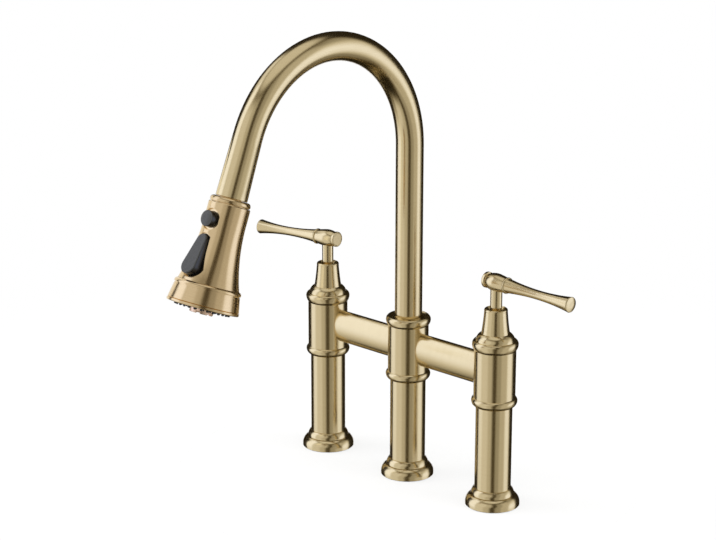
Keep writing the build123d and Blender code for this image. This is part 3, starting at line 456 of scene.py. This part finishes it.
# The two buttons' faces are duller than their glossy sides, and the rocker's is ribbed: each face's
# middle as (outward, along) on the spray head, its tilt, and how deep under it the dull part reaches
buttonFaces = {
    "rocker": {"middle": (0.0242, 0.0989), "tilt": 16.5, "depth": 0.0006, "ribs": 0.0011},
    "round": {"middle": (0.0209, 0.0701), "tilt": 0.0, "depth": 0.0004, "ribs": 0.0},
}
buttonBlack = {
    "face": (0.05, 0.05, 0.048),
    "side": (0.006, 0.006, 0.006, 1),
    "faceRoughness": 0.42,
    "sideRoughness": 0.2,
    "faceEdge": (-0.0002, 0.0001),
    "grainScale": 1100.0,
    "grainDetail": 2.0,
    "speckle": (0.8, 1.2),
    "bump": (0.02, 0.35),  # on the sides and on the face
    "bumpDepth": 0.0002,
}


def buttonFinish(name, face):
    material, graph, shader = newFinish(name)
    outward, along = face["middle"]
    turn = headTurn @ Matrix.Rotation(radians(-90 - face["tilt"]), 3, "X")
    place = graph.add("ShaderNodeTexCoord").outputs["Object"]
    local = graph.add("ShaderNodeMapping", vector_type="TEXTURE", Vector=place,
                      Location=headPoint(0, outward, along), Rotation=turn.to_euler())
    axes = graph.add("ShaderNodeSeparateXYZ", Vector=local.outputs[0]).outputs
    edge = (-face["depth"] + step for step in buttonBlack["faceEdge"])
    isFace = graph.spread(axes["Z"], *edge)
    relief = graph.add("ShaderNodeTexNoise", Vector=place, Scale=buttonBlack["grainScale"],
                       Detail=buttonBlack["grainDetail"]).outputs["Fac"]
    dark, light = ((*(c * share for c in buttonBlack["face"]), 1) for share in buttonBlack["speckle"])
    speckled = graph.blendColours(relief, dark, light)
    graph.feed(shader.inputs["Base Color"], graph.blendColours(isFace, buttonBlack["side"], speckled))
    rough = graph.spread(isFace, 0, 1, buttonBlack["sideRoughness"], buttonBlack["faceRoughness"])
    graph.feed(shader.inputs["Roughness"], rough)
    if face["ribs"]:
        across = graph.maths("SINE", graph.maths("MULTIPLY", axes["Y"], 2 * pi / face["ribs"]))
        relief = graph.maths("ADD", relief, across)
    strength = graph.spread(isFace, 0, 1, *buttonBlack["bump"])
    bump = graph.add("ShaderNodeBump", Strength=strength, Distance=buttonBlack["bumpDepth"], Height=relief)
    graph.feed(shader.inputs["Normal"], bump.outputs[0])
    return material


# The hose's braid: two sets of strands wound opposite ways, going over and under each other

braid = {
    "strands": 12,
    "pitch": 0.011,
    # Painted shade and light: dark goes into the gaps between strands, light onto the strands' crowns
    "dark": (0.03, 0.03, 0.032, 1),
    "light": (0.2, 0.2, 0.205, 1),
    "roughness": (0.7, 0.42),
    "bump": 0.6,
    "bumpDepth": 0.0003,
}


def braidFinish(name):
    material, graph, shader = newFinish(name)
    place = graph.add("ShaderNodeUVMap", uv_map="braid").outputs[0]
    axes = graph.add("ShaderNodeSeparateXYZ", Vector=place).outputs
    around = graph.maths("MULTIPLY", axes["X"], 2 * pi * braid["strands"])
    along = graph.maths("MULTIPLY", axes["Y"], 2 * pi / braid["pitch"])
    leftward = graph.maths("SINE", graph.maths("ADD", around, along))
    rightward = graph.maths("SINE", graph.maths("SUBTRACT", around, along))
    weave = graph.maths("MULTIPLY", graph.maths("COSINE", around), graph.maths("COSINE", along))
    strand = graph.spread(graph.maths("GREATER_THAN", weave, 0.0), 0, 1, leftward, rightward)
    strand = graph.spread(strand, -1, 1, 0, 1)
    # Painted shade: the braid's colour darkens into the gaps between strands and lightens on their crowns
    graph.feed(shader.inputs["Base Color"], graph.blendColours(strand, braid["dark"], braid["light"]))
    graph.feed(shader.inputs["Roughness"], graph.spread(strand, 0, 1, *braid["roughness"]))
    bump = graph.add("ShaderNodeBump", Strength=braid["bump"], Distance=braid["bumpDepth"], Height=strand)
    graph.feed(shader.inputs["Normal"], bump.outputs[0])
    return material


finishes = {
    "uprightGold": brushedGold("uprightGold", "upright"),
    "bridgeGold": brushedGold("bridgeGold", "bridge"),
    "headGold": brushedGold("headGold", "head", gold["headTint"]),
    "leftLeverGold": brushedGold("leftLeverGold", "leftLever"),
    "rightLeverGold": brushedGold("rightLeverGold", "rightLever"),
    "blackRubber": plainFinish("blackRubber", (0.016, 0.016, 0.017), 0.5, bump=0.08),
    "blackPlastic": plainFinish("blackPlastic", (0.02, 0.02, 0.02), 0.3, coat=0.1),
    "rockerBlack": buttonFinish("rockerBlack", buttonFaces["rocker"]),
    "roundBlack": buttonFinish("roundBlack", buttonFaces["round"]),
    "hoseBraid": braidFinish("hoseBraid"),
    "darkPlastic": plainFinish("darkPlastic", (0.05, 0.05, 0.053), 0.45),
    "whitePlastic": plainFinish("whitePlastic", (0.8, 0.8, 0.78), 0.4),
    "ceramic": plainFinish("ceramic", (0.88, 0.87, 0.83), 0.18, speckle=0.03),
    "steel": plainFinish("steel", (0.62, 0.62, 0.63), 0.28, metallic=1.0),
    "plainBrass": plainFinish("plainBrass", (0.72, 0.53, 0.24), 0.3, metallic=1.0),
    "paleGold": plainFinish("paleGold", (0.86, 0.62, 0.45), 0.3, metallic=0.85),
    "magnet": plainFinish("magnet", (0.12, 0.12, 0.125), 0.4, metallic=0.6),
}

finishOf = {
    "uprightGold": ["centre_foot", "left_foot", "right_foot", "centre_leg", "left_leg", "right_leg",
                    "lower_beads", "cross_body", "top_ring", "left_valve_body", "right_valve_body",
                    "left_bonnet", "right_bonnet", "left_cone_sleeve", "right_cone_sleeve",
                    "gooseneck_tube"],
    "bridgeGold": ["left_bridge_pipe", "right_bridge_pipe"],
    "headGold": ["head_collar", "head_shell", "bezel_ring"],
    "leftLeverGold": ["left_hub", "left_hub_cap", "left_lever"],
    "rightLeverGold": ["right_hub", "right_hub_cap", "right_lever"],
    "blackRubber": ["foot_gaskets", "pipe_seals", "nozzles"],
    "blackPlastic": ["spray_plate"],
    "rockerBlack": ["rocker"],
    "roundBlack": ["round_button"],
    "darkPlastic": ["dock_sleeve", "check_valve", "spray_hose"],
    "whitePlastic": ["hose_sleeve", "spout_bush", "waterway_core", "left_cartridge", "right_cartridge",
                     "diverter_spool"],
    "ceramic": ["fixed_discs", "left_moving_disc", "right_moving_disc"],
    "steel": ["spout_clip", "button_spring", "rocker_pin", "left_set_screw", "right_set_screw",
              "hose_ferrule"],
    "plainBrass": ["mixed_water_tube", "cartridge_nuts", "hose_lower_fitting", "hose_nipple",
                   "left_spindle", "right_spindle"],
    "paleGold": ["aerator"],
    "magnet": ["dock_magnet"],
}

for finish, names in finishOf.items():
    for name in names:
        node = nodes[name]
        node.data.materials.clear()
        node.data.materials.append(finishes[finish])
print("finishes given")


def addPiece(name, mesh, finish, body, replaced=()):
    piece = bpy.data.objects.new(name, mesh)
    bpy.context.scene.collection.objects.link(piece)
    mesh.materials.clear()
    mesh.materials.append(finishes[finish])
    if body:
        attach(piece, body)
    if replaced:
        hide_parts(*replaced)
    return piece


# Spray hose: from its brass fitting up the riser, round the bend and down to the ferrule. Its tail, past the
# bend, is a piece of its own along the spray head's axis

hose = {
    "radius": 0.005,
    "bore": 0.0032,
    "bottom": 0.0202,
    "riserMiddle": 0.16,
    "end": 0.0157,  # from the bend's end down to the ferrule
    "travel": 0.45,  # more braid length laid along the tail's UV map than the tail itself has
    "sides": 28,
    "bendSteps": 60,
    "tailSteps": 160,
}


def hoseMesh(name, stations):
    # A tube through (centre, direction, shown length) stations, with a UV map for its braid.
    sides = hose["sides"]
    across = Vector((1, 0, 0))
    turns = [2 * pi * k / sides for k in range(sides)]
    shell = bmesh.new()
    rings = []
    for radius in (hose["radius"], hose["bore"]):
        for centre, direction, _ in stations:
            other = direction.cross(across)
            rings.append([shell.verts.new(centre + radius * (across * cos(t) + other * sin(t))) for t in turns])
    outer, inner = rings[:len(stations)], rings[len(stations):]
    loop = outer + inner[::-1] + outer[:1]
    lengths = [station[2] for station in stations]
    shown = lengths + lengths[::-1] + lengths[:1]
    uv = shell.loops.layers.uv.new("braid")
    for low, high, near, far in zip(loop, loop[1:], shown, shown[1:]):
        for k in range(sides):
            face = shell.faces.new((low[k], low[(k + 1) % sides], high[(k + 1) % sides], high[k]))
            face.smooth = near != far
            for corner, place in zip(face.loops, ((k, near), (k + 1, near), (k + 1, far), (k, far))):
                corner[uv].uv = (place[0] / sides, place[1])
    bmesh.ops.recalc_face_normals(shell, faces=shell.faces[:])
    mesh = bpy.data.meshes.new(name)
    shell.to_mesh(mesh)
    shell.free()
    return mesh


def makeHose():
    up = Vector((0, 0, 1))
    bottom, middle = hose["bottom"], hose["riserMiddle"]
    stations = [(up * bottom, up, 0.0), (up * middle, up, middle - bottom)]
    for k in range(hose["bendSteps"] + 1):
        angle = bendAngle * k / hose["bendSteps"]
        length = spoutPath["rise"] - bottom + spoutPath["bendRadius"] * angle
        stations.append((bendPoint(angle), Vector((0, -sin(angle), cos(angle))), length))
    mesh = hoseMesh("hoseRiser", stations)
    addPiece("hoseRiser", mesh, "hoseBraid", "spout", ["spray_hose"])
    stations = []
    for k in range(hose["tailSteps"] + 1):
        part = k / hose["tailSteps"]
        length = hose["end"] * part + hose["travel"] * part * part * (3 - 2 * part)
        stations.append((headPoint(0, 0, hose["end"] * part), headAxis, length))
    tail = addPiece("hoseTail", hoseMesh("hoseTail", stations), "hoseBraid", None)
    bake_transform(tail)


makeHose()
print("hose made")

# Geometry node pieces: the nozzles, the aerator's wire screen and the button's spring

weldDistance = 1e-7


def newTree(name, values):
    # A node tree with a named input for each value. Whole numbers are counts.
    tree = bpy.data.node_groups.new(name, "GeometryNodeTree")
    for socket, value in values.items():
        kind = "NodeSocketInt" if isinstance(value, int) else "NodeSocketFloat"
        tree.interface.new_socket(socket, in_out="INPUT", socket_type=kind)
    tree.interface.new_socket("Geometry", in_out="OUTPUT", socket_type="NodeSocketGeometry")
    graph = Graph(tree)
    return tree, graph, graph.add("NodeGroupInput").outputs


def closeTree(graph, geometry, material):
    real = graph.add("GeometryNodeRealizeInstances", Geometry=geometry)
    painted = graph.add("GeometryNodeSetMaterial", Geometry=real.outputs[0], Material=material)
    graph.add("NodeGroupOutput", Geometry=painted.outputs[0])


def growPiece(name, tree, values, place):
    # Runs a node tree with its named inputs and gives the result as a plain mesh.
    holder = bpy.data.objects.new(name + "Holder", bpy.data.meshes.new(name + "Holder"))
    bpy.context.scene.collection.objects.link(holder)
    grow = holder.modifiers.new("grow", "NODES")
    grow.node_group = tree
    for socket in tree.interface.items_tree:
        if socket.in_out == "INPUT":
            grow[socket.identifier] = values[socket.name]
    bpy.context.view_layer.update()
    graph = bpy.context.evaluated_depsgraph_get()
    mesh = bpy.data.meshes.new_from_object(holder.evaluated_get(graph))
    mesh.name = name
    bpy.data.objects.remove(holder)
    shell = bmesh.new()
    shell.from_mesh(mesh)
    bmesh.ops.remove_doubles(shell, verts=shell.verts[:], dist=weldDistance)
    bmesh.ops.recalc_face_normals(shell, faces=shell.faces[:])
    shell.to_mesh(mesh)
    shell.free()
    mesh.transform(place)
    return mesh


# Rubber nozzles: three rings of pegs on a mat. Stations run along the spray head

nozzleSet = {
    "Inner ring radius": 0.0132,
    "Ring step": 0.0044,
    "Inner count": 14,
    "Middle count": 20,
    "Outer count": 28,
    "Peg sides": 14,
    "Root radius": 0.001,
    "Tip radius": 0.00082,
    "Root station": 0.1336,
    "Tip station": 0.1417,
    "Mat middle": 0.0179,
    "Mat width": 0.012,
    "Mat height": 0.0016,
    "Mat sides": 96,
}


def nozzleTree():
    tree, graph, given = newTree("nozzleTree", nozzleSet)
    depth = graph.maths("SUBTRACT", given["Tip station"], given["Root station"])
    peg = graph.add("GeometryNodeMeshCone", Vertices=given["Peg sides"], Radius_Bottom=given["Root radius"],
                    Radius_Top=given["Tip radius"], Depth=depth)
    joined = graph.add("GeometryNodeJoinGeometry")
    root = graph.vector(z=given["Root station"])
    for k, count in enumerate(("Inner count", "Middle count", "Outer count")):
        radius = graph.maths("MULTIPLY_ADD", given["Ring step"], float(k), given["Inner ring radius"])
        circle = graph.add("GeometryNodeMeshCircle", Vertices=given[count], Radius=radius)
        halfStep = graph.vector(z=graph.maths("DIVIDE", pi, given[count]))
        turned = graph.add("GeometryNodeTransform", Geometry=circle.outputs[0], Translation=root,
                           Rotation=halfStep)
        pegs = graph.add("GeometryNodeInstanceOnPoints", Points=turned.outputs[0], Instance=peg.outputs[0])
        graph.feed(joined.inputs[0], pegs.outputs[0])
    path = graph.add("GeometryNodeCurvePrimitiveCircle", Resolution=given["Mat sides"],
                     Radius=given["Mat middle"])
    section = graph.add("GeometryNodeCurvePrimitiveQuadrilateral", Width=given["Mat width"],
                        Height=given["Mat height"])
    mat = graph.add("GeometryNodeCurveToMesh", Curve=path.outputs[0], Profile_Curve=section.outputs[0])
    under = graph.vector(z=graph.maths("MULTIPLY_ADD", given["Mat height"], -0.5, given["Root station"]))
    placed = graph.add("GeometryNodeTransform", Geometry=mat.outputs[0], Translation=under)
    graph.feed(joined.inputs[0], placed.outputs[0])
    closeTree(graph, joined.outputs[0], finishes["blackRubber"])
    return tree


def makeNozzles():
    mesh = growPiece("nozzlePegs", nozzleTree(), nozzleSet, headPlace)
    addPiece("nozzlePegs", mesh, "blackRubber", "head", ["nozzles"])
    print("nozzles made")


# Aerator: a turned nose with key slots, and a woven wire screen across its mouth

aeratorNose = {
    "top": 0.1262,
    "shoulder": 0.1399,
    "tip": 0.1446,
    "radius": 0.0104,
    "shoulderDrop": 0.0022,
    "noseRadius": 0.0095,
    "noseTaper": 0.0002,
    "tipEdge": 0.0003,
    "mouthRadius": 0.0078,
    "mouthEdge": 0.0002,
    "mouthDepth": 0.0026,
    "slots": 6,
    "slotWidth": 22,  # degrees
    "slotSlope": 0.4,  # degrees that a slot's side takes
    "slotDepth": 0.0017,
    "sides": 20,  # between one slot and the next
}
aeratorScreen = {
    "Mouth radius": 0.0079,
    "Wire radius": 0.00013,
    "Wire sides": 6,
    "Wires": 13,
    "Station": 0.1428,
}


def noseProfile(slotted):
    # Radius and station, from the hidden top down the outside and up into the mouth.
    shape = aeratorNose
    tip = shape["tip"] - (shape["slotDepth"] if slotted else 0)
    return (
        (shape["radius"], shape["top"]),
        (shape["radius"], shape["shoulder"]),
        (shape["noseRadius"] + shape["noseTaper"], shape["shoulder"] + shape["shoulderDrop"]),
        (shape["noseRadius"], tip - shape["tipEdge"]),
        (shape["noseRadius"] - shape["tipEdge"], tip),
        (shape["mouthRadius"] + shape["mouthEdge"], tip),
        (shape["mouthRadius"], tip - shape["mouthEdge"]),
        (shape["mouthRadius"], shape["tip"] - shape["mouthDepth"]),
    )


def makeAerator():
    shape = aeratorNose
    pitch = 360 / shape["slots"]
    turns = []
    for k in range(shape["slots"]):
        start, half = pitch * k, shape["slotWidth"] / 2
        turns += [(start - half, True), (start, True), (start + half, True)]
        land = start + half + shape["slotSlope"]
        span = pitch - shape["slotWidth"] - 2 * shape["slotSlope"]
        turns += [(land + span * j / shape["sides"], False) for j in range(shape["sides"] + 1)]
    shell = bmesh.new()
    rings = []
    for turn, slotted in turns:
        x, y = cos(radians(turn)), sin(radians(turn))
        rings.append([shell.verts.new((radius * x, radius * y, z)) for radius, z in noseProfile(slotted)])
    for first, second in zip(rings, rings[1:] + rings[:1]):
        for k in range(len(first) - 1):
            shell.faces.new((first[k], second[k], second[k + 1], first[k + 1]))
    shell.faces.new([ring[0] for ring in rings])
    shell.faces.new([ring[-1] for ring in rings])
    bmesh.ops.recalc_face_normals(shell, faces=shell.faces[:])
    mesh = bpy.data.meshes.new("aeratorNose")
    shell.to_mesh(mesh)
    shell.free()
    mesh.transform(headPlace)
    addPiece("aeratorNose", mesh, "paleGold", "head", ["aerator"])


def screenTree():
    tree, graph, given = newTree("screenTree", aeratorScreen)
    width = graph.maths("MULTIPLY", given["Mouth radius"], 2.0)
    step = graph.maths("DIVIDE", width, graph.maths("ADD", given["Wires"], 1.0))
    first = graph.maths("SUBTRACT", step, given["Mouth radius"])
    line = graph.add("GeometryNodeMeshLine", Count=given["Wires"], Start_Location=graph.vector(x=first),
                     Offset=graph.vector(x=step))
    position = graph.add("GeometryNodeInputPosition").outputs[0]
    x = graph.add("ShaderNodeSeparateXYZ", Vector=position).outputs["X"]
    radiusSquared = graph.maths("MULTIPLY", given["Mouth radius"], given["Mouth radius"])
    half = graph.maths("SQRT", graph.maths("SUBTRACT", radiusSquared, graph.maths("MULTIPLY", x, x)))
    wire = graph.add("GeometryNodeMeshCylinder", Vertices=given["Wire sides"], Radius=given["Wire radius"],
                     Depth=2.0)
    laid = graph.add("GeometryNodeTransform", Geometry=wire.outputs[0], Rotation=(pi / 2, 0, 0))
    wires = graph.add("GeometryNodeInstanceOnPoints", Points=line.outputs[0], Instance=laid.outputs[0],
                      Scale=graph.vector(1.0, half, 1.0))
    joined = graph.add("GeometryNodeJoinGeometry")
    for turn, side in ((0.0, 1.0), (pi / 2, -1.0)):
        lift = graph.vector(z=graph.maths("MULTIPLY_ADD", given["Wire radius"], side, given["Station"]))
        layer = graph.add("GeometryNodeTransform", Geometry=wires.outputs[0], Translation=lift,
                          Rotation=(0, 0, turn))
        graph.feed(joined.inputs[0], layer.outputs[0])
    closeTree(graph, joined.outputs[0], finishes["steel"])
    return tree


def makeScreen():
    mesh = growPiece("aeratorScreen", screenTree(), aeratorScreen, headPlace)
    addPiece("aeratorScreen", mesh, "steel", "head")
    print("aerator made")


# Spring under the round button

buttonSpring = {
    "Radius": 0.0036,
    "Wire radius": 0.0003,
    "Turns": 6.0,
    "Length": 0.00939,  # between the middles of its end wires
    "Steps per turn": 24,
    "Wire sides": 8,
}
springPlace = {
    "floor": 0.0087,  # outward from the head's axis
    "station": 0.0701,
    "pressed": 0.795,  # share of its length that is left
}


def springTree():
    tree, graph, given = newTree("springTree", buttonSpring)
    helix = graph.add("GeometryNodeCurveSpiral", Resolution=given["Steps per turn"], Rotations=given["Turns"],
                      Start_Radius=given["Radius"], End_Radius=given["Radius"], Height=given["Length"])
    section = graph.add("GeometryNodeCurvePrimitiveCircle", Resolution=given["Wire sides"],
                        Radius=given["Wire radius"])
    wire = graph.add("GeometryNodeCurveToMesh", Curve=helix.outputs[0], Profile_Curve=section.outputs[0],
                     Fill_Caps=True)
    closeTree(graph, wire.outputs[0], finishes["steel"])
    return tree


def makeSpring():
    foot = headPoint(0, springPlace["floor"], springPlace["station"])
    turn = Matrix((headAxis, Vector((1, 0, 0)), headFront)).transposed().to_4x4()
    place = Matrix.Translation(foot + headFront * buttonSpring["Wire radius"]) @ turn
    coil = growPiece("springCoil", springTree(), buttonSpring, place)
    piece = addPiece("springCoil", coil, "steel", "head", ["button_spring"])
    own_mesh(piece)
    print("button spring made")


makeNozzles()
makeAerator()
makeScreen()
makeSpring()
